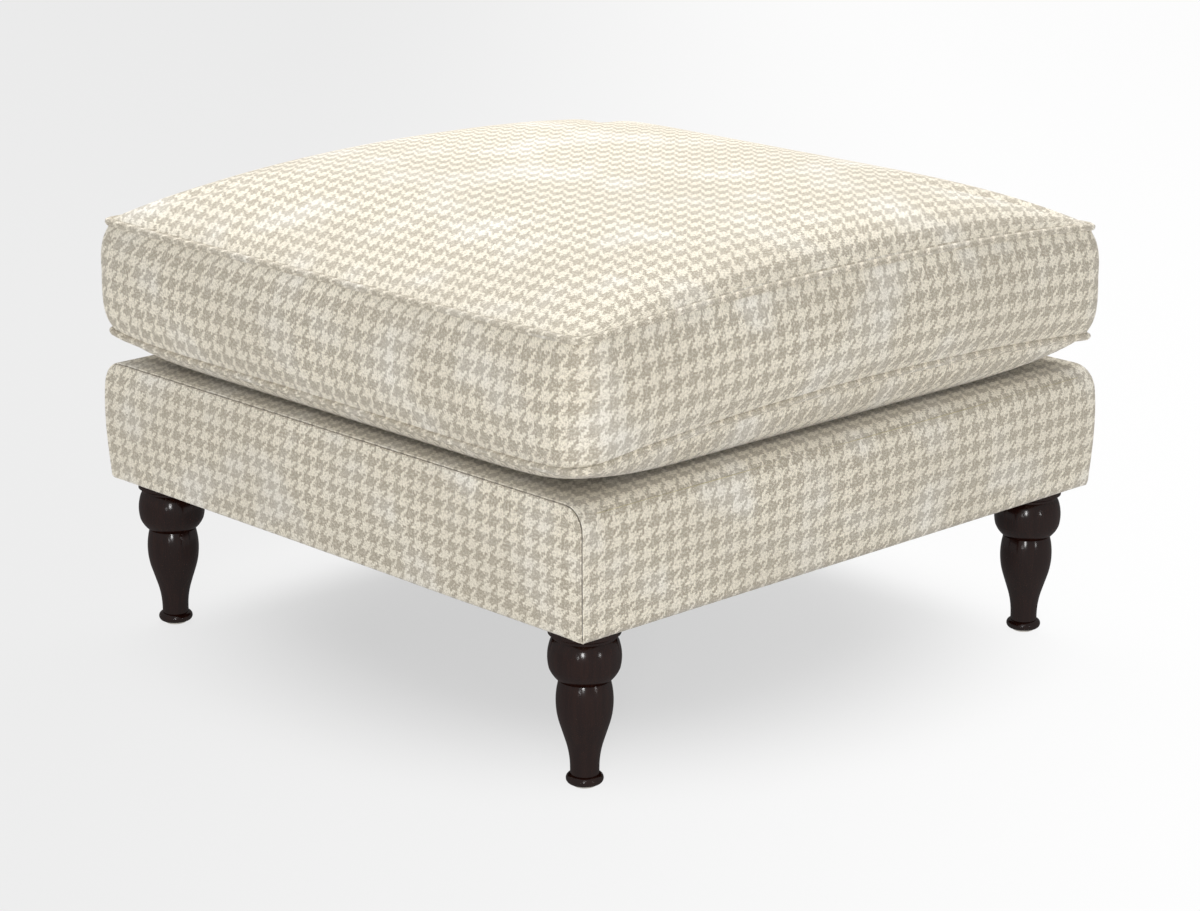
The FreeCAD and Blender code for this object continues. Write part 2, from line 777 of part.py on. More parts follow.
def crown_form(inset):
    """Crowned top above the upper seam."""
    half = seam_half.value - inset
    rise = crown_rise.value - inset
    rings = [ring(crown_base.value, half, size.seam_draw.value, size.seam_corner_radius.value - inset)]
    for height, width, corner, draw in CROWN_SHARES:
        rings.append(ring(crown_base.value + height * rise, width * half, draw * size.seam_draw.value,
                          corner * half))
    return Part.makeLoft(rings, True, False)


def tuck_form(inset):
    """Underside, tucked in from the lower seam to the flat that rests on the deck."""
    half = seam_half.value - inset
    drop = tuck_top.value - cushion_bottom.value - inset
    flat = contact_half.value
    rings = [ring(tuck_top.value, half, size.seam_draw.value, size.seam_corner_radius.value - inset)]
    for share, corner, draw in TUCK_SHARES:
        angle = share * math.pi / 2
        rings.append(ring(tuck_top.value - drop * math.sin(angle), flat + (half - flat) * math.cos(angle),
                          draw * size.seam_draw.value, corner * half))
    return Part.makeLoft(rings, True, False)


def block_between(x_half, y_low, y_high, z_low, z_high):
    """Cutting block, centred across the cushion."""
    return Part.makeBox(2 * x_half, y_high - y_low, z_high - z_low, Vector(-x_half, y_low, z_low))


cloth = size.cover_thickness.value
filling_inset = cloth + size.filling_gap.value

# Cushion top and bottom panels
top_panel = feature_of("cushion_top_panel", crown_form(0.0).cut(crown_form(cloth)))
bottom_panel = feature_of("cushion_bottom_panel", tuck_form(0.0).cut(tuck_form(cloth)))
SUBPARTS += [top_panel, bottom_panel]

# Cushion border: a boxing strip round three sides, and the zip's two panels with folded hems at the back
border_outer = border_form(0.0)
border_inner = border_form(cloth)
far = 2 * base_half.value
panel_half = zip_panel_half.value
low, middle, high = border_low.value, border_middle.value, border_high.value
slot = slot_half.value
hem_reach = slot + size.zip_hem_width.value
back_block = block_between(panel_half + size.zip_panel_gap.value, 0.0, far, low, high)
border = feature_of("cushion_border", border_outer.cut(border_inner).cut(back_block))
hem_upper = block_between(panel_half, hem_inside.value, far, middle, middle + hem_reach)
hem_lower = block_between(panel_half, hem_inside.value, far, middle - hem_reach, middle)
upper_block = block_between(panel_half, 0.0, far, middle + slot, high)
lower_block = block_between(panel_half, 0.0, far, low, middle - slot)
upper_panel = feature_of("zip_panel_upper",
                         border_outer.common(upper_block).cut(border_inner.cut(hem_upper)))
lower_panel = feature_of("zip_panel_lower",
                         border_outer.common(lower_block).cut(border_inner.cut(hem_lower)))
SUBPARTS += [border, upper_panel, lower_panel]


# Pipings: covered cord round both seams
def piping(name, level):
    radius = size.piping_radius.value
    corner = size.seam_corner_radius.value + piping_half.value - seam_half.value
    path = ring(level.value, piping_half.value, size.seam_draw.value, corner)
    start = path.Edges[0].valueAt(path.Edges[0].FirstParameter)
    heading = path.Edges[0].tangentAt(path.Edges[0].FirstParameter)
    section = Part.Wire(Part.makeCircle(radius, start, heading))
    tube = path.makePipeShell([section], True, False)
    return feature_of(name, tube)


SUBPARTS += [piping("piping_top", seam_high), piping("piping_bottom", seam_low)]

# Cushion filling: foam core with a fibre layer above and below, and a groove behind the zip
core_half = seam_half.value - filling_inset
core_corner = size.seam_corner_radius.value - filling_inset
core_low_ring = ring(tuck_top.value, core_half, size.seam_draw.value, core_corner)
core_high_ring = ring(high, core_half, size.seam_draw.value, core_corner)
collar_rise = Vector(0, 0, 2 * seam_space.value)
core_low_end = Part.Face(core_low_ring).extrude(collar_rise)
core_high_end = Part.Face(core_high_ring).extrude(collar_rise)
groove_half = hem_reach + size.filling_gap.value
groove_bottom = tape_face.value - size.zip_tape_thickness.value - size.filling_gap.value
groove = block_between(panel_half + size.filling_gap.value, groove_bottom, far,
                       middle - groove_half, middle + groove_half)
core_shape = border_form(filling_inset).fuse([core_low_end, core_high_end]).removeSplitter().cut(groove)
SUBPARTS.append(feature_of("cushion_core", core_shape))
SUBPARTS.append(feature_of("cushion_wadding_top", crown_form(filling_inset)))
SUBPARTS.append(feature_of("cushion_wadding_bottom", tuck_form(filling_inset)))

# Zip: tape behind the hems, chain with a narrow root and a wide head, and a stop at each end
tape = box("zip_tape", 2 * tape_half, size.zip_tape_thickness, size.zip_tape_width,
           -tape_half, tape_face - size.zip_tape_thickness, border_middle - size.zip_tape_width / 2)
chain = body("zip_chain")
root_half = size.chain_root_width / 2
head_half = size.chain_head_width / 2
head_face = size.chain_root_height + size.chain_head_height
chain_section = outline(chain, "zip_chain_outline", "YZ_Plane", [
    (0, -root_half),
    (size.chain_root_height, -root_half),
    (size.chain_root_height, -head_half),
    (head_face, -head_half),
    (head_face, head_half),
    (size.chain_root_height, head_half),
    (size.chain_root_height, root_half),
    (0, root_half),
])
pad(chain, chain_section, 2 * zip_half, middle=True)
put(chain, 0, tape_face, border_middle)
stops = []
for side_name, x in (("left", -(zip_half + size.stop_length)), ("right", zip_half)):
    stops.append(box("zip_stop_" + side_name, size.stop_length, head_face, size.stop_width,
                     x, tape_face, border_middle - size.stop_width / 2))
SUBPARTS += [tape, chain, gathered("zip_stops", stops)]

# Slider: a channel that wraps round the chain's head, with a bail on top for the pull tab
slider = body("zip_slider")
lip_face = size.chain_root_height - size.slider_gap
channel_face = head_face + size.slider_gap
plate_face = channel_face + size.slider_plate
bail_face = plate_face + size.bail_gap + size.bail_thickness
channel_half = head_half + size.slider_gap
mouth_half = root_half + size.slider_gap
slider_section = outline(slider, "zip_slider_outline", "YZ_Plane", [
    (size.slider_gap, -slider_half),
    (plate_face, -slider_half),
    (plate_face, slider_half),
    (size.slider_gap, slider_half),
    (size.slider_gap, mouth_half),
    (lip_face, mouth_half),
    (lip_face, channel_half),
    (channel_face, channel_half),
    (channel_face, -channel_half),
    (lip_face, -channel_half),
    (lip_face, -mouth_half),
    (size.slider_gap, -mouth_half),
])
pad(slider, slider_section, size.slider_length, middle=True)
bail_half = size.bail_length / 2
bail_inside = bail_half - size.bail_post
bail_section = outline(slider, "zip_bail_outline", "XY_Plane", [
    (-bail_half, plate_face),
    (-bail_half, bail_face),
    (bail_half, bail_face),
    (bail_half, plate_face),
    (bail_inside, plate_face),
    (bail_inside, bail_face - size.bail_thickness),
    (-bail_inside, bail_face - size.bail_thickness),
    (-bail_inside, plate_face),
])
pad(slider, bail_section, size.bail_width, middle=True)
put(slider, slider_place, tape_face, border_middle)
SUBPARTS.append(slider)

# Pull tab: its crossbar turns under the bail
pull = body("zip_pull")
bar = size.pull_bar_radius
pull_section = outline(pull, "zip_pull_outline", "XY_Plane", [
    (0, -bar),
    (size.pull_length, -bar),
    (size.pull_length, bar),
    (0, bar),
    via(-bar, 0),
])
pad(pull, pull_section, size.pull_width, middle=True)
doc.recompute()
window = outline(pull, "zip_pull_window", "XZ_Plane", [
    (bar, -size.pull_window_width / 2),
    (bar + size.pull_window_length, -size.pull_window_width / 2),
    (bar + size.pull_window_length, size.pull_window_width / 2),
    (bar, size.pull_window_width / 2),
])
pocket(pull, window, 4 * bar, middle=True)


def is_pull_corner(edge):
    """The two edges through the tab's thickness at its free end."""
    bounds = edge.BoundBox
    at_end = same(bounds.XMin, size.pull_length)
    at_side = same(bounds.ZMin, size.pull_width / 2) or same(bounds.ZMax, -size.pull_width / 2)
    return at_end and at_side


rounded_edges(pull, "zip_pull_corners", size.pull_corner_radius, is_pull_corner)
put(pull, slider_place, tape_face + plate_face + size.bail_gap / 2, border_middle)
SUBPARTS.append(pull)

# Every object must have computed and every sub-part must be a sound solid before anything is written
doc.recompute()
for item in doc.Objects:
    if "Invalid" in item.State or "Error" in item.State:
        raise RuntimeError("%s did not compute: %s" % (item.Label, item.State))
os.makedirs("parts", exist_ok=True)
for item in SUBPARTS:
    if item.Shape.isNull() or not item.Shape.isValid() or not item.Shape.Solids:
        raise RuntimeError("%s is not a sound solid" % item.Label)
for item in SUBPARTS:
    item.Shape.exportStep(os.path.join("parts", item.Label + ".step"))
    bounds = item.Shape.BoundBox
    print("%-24s solids %2d  volume %12.1f  x %8.2f %8.2f  y %8.2f %8.2f  z %7.2f %7.2f" % (
        item.Label, len(item.Shape.Solids), item.Shape.Volume, bounds.XMin, bounds.XMax,
        bounds.YMin, bounds.YMax, bounds.ZMin, bounds.ZMax))
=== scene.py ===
import math

import bmesh
import bpy
from mathutils import Matrix, Vector, noise


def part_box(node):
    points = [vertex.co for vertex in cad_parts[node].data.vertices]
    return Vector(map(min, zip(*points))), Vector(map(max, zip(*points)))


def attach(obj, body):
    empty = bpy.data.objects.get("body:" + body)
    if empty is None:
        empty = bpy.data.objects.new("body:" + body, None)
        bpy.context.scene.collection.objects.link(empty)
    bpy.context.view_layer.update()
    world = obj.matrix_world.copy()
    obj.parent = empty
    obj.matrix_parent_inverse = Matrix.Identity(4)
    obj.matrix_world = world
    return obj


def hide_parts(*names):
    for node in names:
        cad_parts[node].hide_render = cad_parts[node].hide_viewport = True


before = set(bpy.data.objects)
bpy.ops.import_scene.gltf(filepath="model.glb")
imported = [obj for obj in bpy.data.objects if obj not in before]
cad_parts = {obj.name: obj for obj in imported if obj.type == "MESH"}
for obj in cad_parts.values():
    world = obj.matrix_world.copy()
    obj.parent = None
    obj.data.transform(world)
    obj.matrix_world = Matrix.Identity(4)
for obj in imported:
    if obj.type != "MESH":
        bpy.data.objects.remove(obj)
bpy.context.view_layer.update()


# Hardwood frame: four rails with dowelled butt joints, and a glued triangular block in each corner.
# Planed pale beech with its grain along each rail. Materials are built up from plain sums of node values.
class Amount:
    """A value in a finish, so that a pattern is written as plain sums."""

    def __init__(self, finish, socket):
        self.finish = finish
        self.socket = socket

    def sum(self, operation, *values):
        return self.finish.node("ShaderNodeMath", {"operation": operation}, dict(enumerate(values)))

    def __add__(self, other):
        return self.sum("ADD", self, other)

    def __radd__(self, other):
        return self.sum("ADD", other, self)

    def __sub__(self, other):
        return self.sum("SUBTRACT", self, other)

    def __rsub__(self, other):
        return self.sum("SUBTRACT", other, self)

    def __mul__(self, other):
        return self.sum("MULTIPLY", self, other)

    def __rmul__(self, other):
        return self.sum("MULTIPLY", other, self)

    def __truediv__(self, other):
        return self.sum("DIVIDE", self, other)

    def __mod__(self, other):
        return self.sum("FLOORED_MODULO", self, other)

    def __lt__(self, other):
        return self.sum("LESS_THAN", self, other)

    def whole(self):
        return self.sum("FLOOR", self)

    def wave(self):
        return self.sum("SINE", self)

    def within(self, low, high):
        return self.finish.node("ShaderNodeMapRange", {"interpolation_type": "SMOOTHSTEP"},
                                {"Value": self, "From Min": low, "From Max": high})


class Finish:
    """A material: fixed values go on its shader, and what changes over the surface is fed to it."""

    def __init__(self, name, **values):
        self.material = bpy.data.materials.new(name)
        self.material.use_nodes = True
        self.nodes = self.material.node_tree.nodes
        self.links = self.material.node_tree.links
        self.shader = self.nodes["Principled BSDF"]
        for socket, value in values.items():
            self.shader.inputs[socket.replace("_", " ")].default_value = value

    def node(self, kind, settings=None, inputs=None, output=0):
        made = self.nodes.new(kind)
        for key, value in (settings or {}).items():
            setattr(made, key, value)
        for key, value in (inputs or {}).items():
            if isinstance(value, Amount):
                self.links.new(value.socket, made.inputs[key])
            else:
                made.inputs[key].default_value = value
        return Amount(self, made.outputs[output])

    def feed(self, socket, value):
        self.links.new(value.socket, self.shader.inputs[socket])

    def mix(self, share, first, second):
        return self.node("ShaderNodeMix", {"data_type": "RGBA"}, {0: share, 6: first, 7: second}, 2)

    def at(self, stretch=(1, 1, 1), turn=(0, 0, 0)):
        """The piece's own coordinates, stretched and turned."""
        place = self.node("ShaderNodeTexCoord", output=3)
        return self.node("ShaderNodeMapping", {}, {"Vector": place, "Scale": stretch, "Rotation": turn})

    def cloth_at(self):
        """Places on the flat cloth, in metres."""
        return self.node("ShaderNodeUVMap", {"uv_map": "cloth"})

    def parts(self, place):
        """A place's x and y."""
        split = self.node("ShaderNodeSeparateXYZ", {}, {"Vector": place}).socket.node.outputs
        return Amount(self, split[0]), Amount(self, split[1])

    def speckle(self, place, scale, detail=2.0, rough=0.5):
        inputs = {"Vector": place, "Scale": scale, "Detail": detail, "Roughness": rough}
        return self.node("ShaderNodeTexNoise", {}, inputs)

    def raise_by(self, height, depth, strength=1.0):
        inputs = {"Height": height, "Distance": depth, "Strength": strength}
        self.feed("Normal", self.node("ShaderNodeBump", {}, inputs))


def shade(red, green, blue):
    """A colour as it is seen, 0 to 255, for a shader's socket."""
    seen = [part / 255 for part in (red, green, blue)]
    light = [part / 12.92 if part <= 0.04045 else ((part + 0.055) / 1.055) ** 2.4 for part in seen]
    return tuple(light) + (1.0,)


def timber(name, light, dark, along):
    """Planed wood with its grain along one axis."""
    wood = Finish(name, Roughness=0.55)
    stretch = [30.0, 30.0, 30.0]
    stretch[along] = 2.2
    place = wood.at(stretch)
    grain = wood.speckle(place, 3.2, 4.0, 0.6)
    fibre = wood.speckle(place, 24.0, 2.0)
    wood.feed("Base Color", wood.mix((grain * 0.75 + fibre * 0.35).within(0.3, 0.8), light, dark))
    wood.feed("Roughness", 0.45 + grain * 0.25)
    wood.raise_by(fibre + grain, 0.0003, 0.5)
    return wood.material


def finish_node(names, material):
    """Gives the solids that stay as they are their material."""
    for name in names:
        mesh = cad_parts[name].data
        mesh.materials.clear()
        mesh.materials.append(material)


beech_light, beech_dark = shade(222, 190, 146), shade(176, 134, 88)
finish_node(["rail_front", "rail_back"], timber("frame_beech_long", beech_light, beech_dark, 0))
finish_node(["rail_left", "rail_right"], timber("frame_beech_side", beech_light, beech_dark, 1))
corners = ("front_left", "front_right", "back_left", "back_right")
finish_node(["corner_block_" + corner for corner in corners],
            timber("block_pine", shade(230, 202, 152), shade(188, 150, 100), 2))
finish_node(["rail_dowels"], timber("dowel_birch", shade(232, 210, 172), shade(204, 174, 130), 1))


# Leg fixings: zinc-plated hanger bolts through the corner blocks into tee nuts, and a nickel glide nailed
# under each foot. Bright plating with a slightly mottled, satin skin.
def plated(name, color, roughness):
    metal = Finish(name, Metallic=1.0)
    mottle = metal.speckle(metal.at(), 240.0, 3.0)
    dull = tuple(part * 0.72 for part in color[:3]) + (1.0,)
    metal.feed("Base Color", metal.mix(mottle.within(0.3, 0.8), color, dull))
    metal.feed("Roughness", roughness + mottle * 0.2)
    metal.raise_by(mottle, 0.00005, 0.4)
    return metal.material


finish_node(["leg_bolts", "tee_nuts"], plated("zinc_plate", shade(198, 200, 204), 0.25))
finish_node(["glide_" + corner for corner in corners], plated("glide_nickel", shade(190, 186, 178), 0.3))


# Webbing: five jute strips each way, laid over and under each other and tacked to the rails, under a hessian
# sheet. Both are plain weaves of coarse brown yarn, one up and one down.
def plain_weave(name, light, dark, yarn):
    weave = Finish(name, Roughness=0.92)
    place = weave.at()
    x, y = weave.parts(place)
    height = (x * (math.pi / yarn)).wave() * (y * (math.pi / yarn)).wave() * 0.5 + 0.5
    hairs = weave.speckle(place, 900.0, 2.0)
    weave.feed("Base Color", weave.mix((height * 0.5 + hairs * 0.7).within(0.25, 0.85), dark, light))
    weave.raise_by(height + hairs * 0.4, 0.0004)
    return weave.material


webbing_yarn, hessian_yarn = 0.0016, 0.0011
finish_node(["webbing_%s_%d" % (way, number) for way in ("across", "along") for number in range(1, 6)],
            plain_weave("jute_webbing", shade(172, 140, 98), shade(104, 78, 48), webbing_yarn))
finish_node(["hessian"], plain_weave("hessian", shade(188, 160, 116), shade(120, 94, 60), hessian_yarn))


# Dust cover: thin black spun cloth stapled under the frame.
# Its faint dimples are pressed into the sheet.
dust_cloth = Finish("dust_cloth", Roughness=0.95)
dimples = dust_cloth.node("ShaderNodeTexVoronoi", {}, {"Vector": dust_cloth.at(), "Scale": 420.0})
dust_cloth.feed("Base Color", dust_cloth.mix(dimples.within(0.1, 0.6), shade(20, 20, 21), shade(40, 40, 41)))
dust_cloth.raise_by(dimples, 0.0003, 0.6)
finish_node(["dust_cover"], dust_cloth.material)


# Padding of the base: a slab of cream foam on the hessian, and a strip of white fibre down each rail.
# The foam is cut from block and has fine open cells; the fibre is soft and stringy.
padding_slack = 0.003
deck_pad_edge, rail_pad_edge = 0.018, 0.002


def soft_block(name, node, bevel, material, body):
    """Padding cut a little smaller than the node's box, with softened edges."""
    low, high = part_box(node)
    slack = Vector((padding_slack, padding_slack, padding_slack))
    bm = bmesh.new()
    bmesh.ops.create_cube(bm, size=1.0)
    bmesh.ops.scale(bm, vec=high - low - slack, verts=bm.verts)
    bmesh.ops.translate(bm, vec=(low + high) / 2, verts=bm.verts)
    bmesh.ops.bevel(bm, geom=bm.edges[:], offset=bevel, offset_type="OFFSET", segments=3, profile=0.5,
                    affect="EDGES", material=-1)
    return piece(name, bm, material, body)


def piece(name, bm, material, body):
    """A finished mesh as an object that rides on a body."""
    mesh = bpy.data.meshes.new(name)
    for face in bm.faces:
        face.smooth = True
    bm.to_mesh(mesh)
    bm.free()
    mesh.materials.append(material)
    made = bpy.data.objects.new(name, mesh)
    bpy.context.scene.collection.objects.link(made)
    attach(made, body)
    return made


foam = Finish("foam", Roughness=0.95)
cells = foam.node("ShaderNodeTexVoronoi", {}, {"Vector": foam.at(), "Scale": 700.0})
foam.feed("Base Color", foam.mix(cells.within(0.05, 0.5), shade(206, 190, 140), shade(240, 230, 196)))
foam.raise_by(cells, 0.0005, 0.7)
fibre = Finish("fibre", Roughness=1.0)
strands = fibre.speckle(fibre.at((1.0, 1.0, 3.0)), 160.0, 6.0, 0.7)
fibre.feed("Base Color", fibre.mix(strands.within(0.3, 0.7), shade(226, 226, 222), shade(250, 250, 248)))
fibre.raise_by(strands, 0.002, 0.6)

deck_pad = soft_block("deck_pad", "deck_foam", deck_pad_edge, foam.material, "base")
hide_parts("deck_foam")
for rail_side in ("front", "back", "left", "right"):
    wadding = "rail_wadding_" + rail_side
    strip = soft_block("rail_pad_" + rail_side, wadding, rail_pad_edge, fibre.material, "base")
    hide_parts(wadding)


# Base cover: one length of woollen houndstooth from under the front rail over the deck to under the back
# rail. The cloth is a four-and-four twill check in cream and taupe yarn, a little fuzzy.
cream, taupe = shade(236, 229, 212), shade(163, 154, 138)
# Paler, flatter colours of the check for its large patches, which are partly the wool's own mottling and
# partly painted highlight
pale_wool, grey_wool = shade(240, 237, 229), shade(188, 182, 171)
check_repeat, yarns_in_repeat, pale_yarns = 0.018, 8, 3.8
cloth_thickness = 0.0014


def houndstooth(name):
    wool = Finish(name, Roughness=0.95, Sheen_Weight=0.3, Sheen_Roughness=0.4, Specular_IOR_Level=0.2)
    place = wool.cloth_at()
    yarn = check_repeat / yarns_in_repeat
    stray = yarn * 1.5
    wander = wool.node("ShaderNodeTexNoise", {},
                       {"Vector": place, "Scale": 640.0, "Detail": 3.0, "Roughness": 0.65}, 1)
    bent = wool.node("ShaderNodeVectorMath", {"operation": "MULTIPLY_ADD"},
                     {0: wander, 1: (stray, stray, 0), 2: place})
    across, along = wool.parts(bent)
    warp = (across - stray / 2) / yarn
    weft = (along - stray / 2) / yarn
    warp_over = ((warp.whole() - weft.whole()) % 4) < 2
    light = (warp_over * ((warp % yarns_in_repeat) < pale_yarns)
             + (1 - warp_over) * ((weft % yarns_in_repeat) < pale_yarns))
    hairs = wool.speckle(place, 1200.0, 2.0, 0.6)
    flecks = wool.speckle(place, 440.0, 3.0, 0.75)
    twill = ((warp - weft) * (2 * math.pi)).wave()
    fuzz = (hairs - 0.5) * 1.7 + (flecks - 0.5) * 2.7
    share = (light * 0.52 + 0.2 + fuzz + twill * 0.09).within(0.0, 1.0)
    checked = wool.mix(share, taupe, cream)
    # The check fades to paler, flatter colours in large soft patches: partly the wool's own mottling, partly
    # painted highlight where light washes the check out
    pale_check_and_painted_highlight = wool.mix(share, grey_wool, pale_wool)
    mottle_and_highlight_patches = wool.speckle(place, 12.0, 2.0, 0.5).within(0.46, 0.74)
    shades = wool.speckle(place, 7.0, 1.0).within(0.35, 0.65)
    mottled = wool.mix(mottle_and_highlight_patches * 0.75, checked, pale_check_and_painted_highlight)
    wool.feed("Base Color", wool.mix(shades * 0.12, mottled, taupe))
    wool.raise_by(hairs * 0.7 + flecks * 0.5 + light * 0.12 + twill * 0.22, 0.0007, 0.55)
    return wool.material


def even(cells):
    """Evenly spaced stops from 0 to 1."""
    return [step / cells for step in range(cells + 1)]


# Each row: the distance along the cloth from its seam, then how far back from the corner and how deep it lies
seam_fold = ((0.0, 0.0040, 0.0036), (0.0003, 0.0020, 0.0016), (0.0006, 0.0015, 0.0010),
             (0.0009, 0.0014, 0.0005), (0.0014, 0.0017, 0.0001), (0.0024, 0.0024, 0.0))
seam_smooth = 0.006


def to_seams(cells, length):
    """Stops from 0 to 1 with close rows beside the seam at each end."""
    close = [row[0] / length for row in seam_fold] + [seam_smooth / length]
    middle = [close[-1] + at * (1 - 2 * close[-1]) for at in even(cells)]
    return close[:-1] + middle + [1 - step for step in reversed(close[:-1])]


def folded(edge):
    """A cloth's edge turns in to its seam: how far it then lies from the corner, and how deep."""
    for (near, near_back, near_deep), (far, far_back, far_deep) in zip(seam_fold, seam_fold[1:]):
        if edge < far:
            part = max(0.0, edge - near) / (far - near)
            return near_back + part * (far_back - near_back), near_deep + part * (far_deep - near_deep)
    return edge, 0.0


def cloth_grid(across, up, lie, cut):
    """A sheet of cloth: lie(a, b) gives where a point goes, and cut(a, b) where it was on the flat cloth."""
    bm = bmesh.new()
    bmesh.ops.create_grid(bm, x_segments=len(across) - 1, y_segments=len(up) - 1, size=0.5)
    for vert in bm.verts:
        column = round((vert.co.x + 0.5) * (len(across) - 1))
        row = round((vert.co.y + 0.5) * (len(up) - 1))
        vert.co = Vector((across[column], up[row], 0))
    layer = bm.loops.layers.uv.new("cloth")
    for face in bm.faces:
        for loop in face.loops:
            loop[layer].uv = cut(loop.vert.co.x, loop.vert.co.y)
    for vert in bm.verts:
        vert.co = lie(vert.co.x, vert.co.y)
    return bm


def backed(made, thickness):
    """Gives a sheet its thickness, inwards."""
    wall = made.modifiers.new("thickness", "SOLIDIFY")
    wall.thickness = thickness
    wall.offset = -1.0
    return made


def route(points):
    """The distance walked along a line to each of its points."""
    walked = [0.0]
    for first, second in zip(points, points[1:]):
        walked.append(walked[-1] + (second - first).length)
    return walked


def follow(points, walked, share):
    """The point at a share of a line's length, and the line's heading there."""
    target = share * walked[-1]
    last = len(points) - 1
    index = max(1, min(last, next((i for i, d in enumerate(walked) if d >= target), last)))
    span = walked[index] - walked[index - 1] or 1.0
    part = (target - walked[index - 1]) / span
    return points[index - 1].lerp(points[index], part), (points[index] - points[index - 1]).normalized()


cover_low, cover_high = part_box("base_cover")
half = cover_high.y
hem_z, deck_z = cover_low.z, cover_high.z
hem_width = 0.030
hem_half = half - hem_width
edge_radius, fold_radius = 0.022, 0.0025
pad_push, pad_belly, pad_ripple = 0.0032, 0.0012, 0.0009
deck_sink, deck_sink_reach = 0.0010, 0.04
hem_drop, hem_drop_reach = 0.0008, 0.012


def rounded(centre_y, centre_z, radius, start, stop, steps):
    """Points on a round corner of the cover, between two angles in degrees."""
    angles = [math.radians(start + (stop - start) * step / steps) for step in range(steps + 1)]
    return [Vector((0, centre_y + radius * math.cos(angle), centre_z + radius * math.sin(angle)))
            for angle in angles]


profile = ([Vector((0, -hem_half, hem_z))]
           + rounded(-half + fold_radius, hem_z + fold_radius, fold_radius, 270, 180, 6)
           + rounded(-half + edge_radius, deck_z - edge_radius, edge_radius, 180, 90, 16)
           + rounded(half - edge_radius, deck_z - edge_radius, edge_radius, 90, 0, 16)
           + rounded(half - fold_radius, hem_z + fold_radius, fold_radius, 0, -90, 6)
           + [Vector((0, hem_half, hem_z))])
walked = route(profile)


def swell(rise):
    """How far the padding pushes the sides out, from the hem up to the deck."""
    rise = min(1.0, max(0.0, rise))
    return math.sin(math.pi * rise ** 1.25) ** 0.8


def belly(push, across):
    """How far a side of the base stands out, fullest in the middle of its width."""
    return push * (pad_push + pad_belly * (1 - across ** 6))


def hem_sag(height):
    """How far the cloth hangs below its place, close to the hem."""
    return hem_drop * max(0.0, 1 - (height - hem_z) / hem_drop_reach)


def cover_lie(a, b):
    """Cover: a runs from left to right, b along the cloth from the front hem to the back hem."""
    point, heading = follow(profile, walked, b)
    outward = Vector((0, -heading.z, heading.y))
    rise = (point.z - hem_z) / (deck_z - hem_z)
    push = swell(rise)
    side = abs(2 * a - 1)
    back, deep = folded((1 - side) * half)
    x = math.copysign(half + pad_push * push - back, 2 * a - 1)
    puff = belly(push, side)
    uneven = noise.noise(Vector((x * 9, point.y * 9, point.z * 14)))
    ripple = (pad_ripple * uneven - 0.0003) * min(1.0, push * 2)
    if rise > 0.99:
        puff = -deck_sink * min(1.0, back / deck_sink_reach)
    sag = hem_sag(point.z) * min(1.0, max(0.0, abs(point.y) - hem_half) / 0.018)
    return Vector((x, 0, -sag)) + point + outward * (puff + ripple * min(1.0, back / 0.02) - deep)


cloth = houndstooth("houndstooth_wool")
bm = cloth_grid(to_seams(72, 2 * half), even(200), cover_lie, lambda a, b: (2 * a * half, b * walked[-1]))
base_cover = backed(piece("base_cover_cloth", bm, cloth, "base"), cloth_thickness)
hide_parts("base_cover")


# Side facings: a panel on each side, sewn to the cover round its edge, with its bottom hem turned under the
# rail. The seam draws both edges in, so a thin dark groove runs round the panel.
def facing_lie(side):
    """Facing: a runs from the front to the back, b from the bottom to the deck."""
    def lie(a, b):
        push = swell(b)
        y = (2 * a - 1) * half
        z = hem_z + b * (deck_z - hem_z)
        turn = Vector((max(0.0, abs(y) - (half - edge_radius)), max(0.0, z - (deck_z - edge_radius))))
        if min(turn) > 0:
            edge = edge_radius - max(turn)
            out = turn.normalized()
            spot = Vector((half - edge_radius, deck_z - edge_radius)) + out * max(turn)
        else:
            edge = min(half - abs(y), deck_z - z)
            out = Vector((1, 0)) if half - abs(y) < deck_z - z else Vector((0, 1))
            spot = Vector((abs(y), z))
        back, deep = folded(edge)
        spot -= out * (back - edge)
        fold = fold_radius - math.sqrt(fold_radius ** 2 - max(0.0, fold_radius - (z - hem_z)) ** 2)
        puff = belly(push, abs(2 * a - 1))
        ripple = pad_ripple * noise.noise(Vector((side * 3, y * 9, z * 12))) * min(1.0, edge / 0.03)
        return Vector((side * (half + puff + ripple - deep - fold),
                       math.copysign(spot.x + pad_push * push * spot.x / half, y), spot.y - hem_sag(z)))
    return lie


def is_hem(edge):
    """Edges along the facing's bottom, between the ends of the cover's hems."""
    return edge.is_boundary and all(vert.co.z < hem_z + 0.0001 and abs(vert.co.y) <= hem_half + 0.005
                                    for vert in edge.verts)


# The hem goes round the rail's edge and then under it: how far in and how far up in each turn
hem_turns = ((0.005, 0.0008), (0.019, 0.0))

for side, side_name in ((-1, "left"), (1, "right")):
    bm = cloth_grid(to_seams(90, 2 * half), [0.0] + to_seams(18, deck_z - hem_z)[5:], facing_lie(side),
                    lambda a, b, side=side: (side * (2 * a - 1) * half, b * (deck_z - hem_z)))
    hem_edges = [edge for edge in bm.edges if is_hem(edge)]
    for inward, upward in hem_turns:
        turned = bmesh.ops.extrude_edge_only(bm, edges=hem_edges)["geom"]
        moved = [item for item in turned if isinstance(item, bmesh.types.BMVert)]
        hem_edges = [item for item in turned if isinstance(item, bmesh.types.BMEdge)
                     and all(vert in moved for vert in item.verts)]
        bmesh.ops.translate(bm, vec=(-side * inward, 0, upward), verts=moved)
    bmesh.ops.recalc_face_normals(bm, faces=bm.faces[:])
    if sum(face.normal.x for face in bm.faces) * side < 0:
        bmesh.ops.reverse_faces(bm, faces=bm.faces[:])
    facing = backed(piece("facing_cloth_" + side_name, bm, cloth, "base"), cloth_thickness)
    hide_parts("facing_" + side_name)


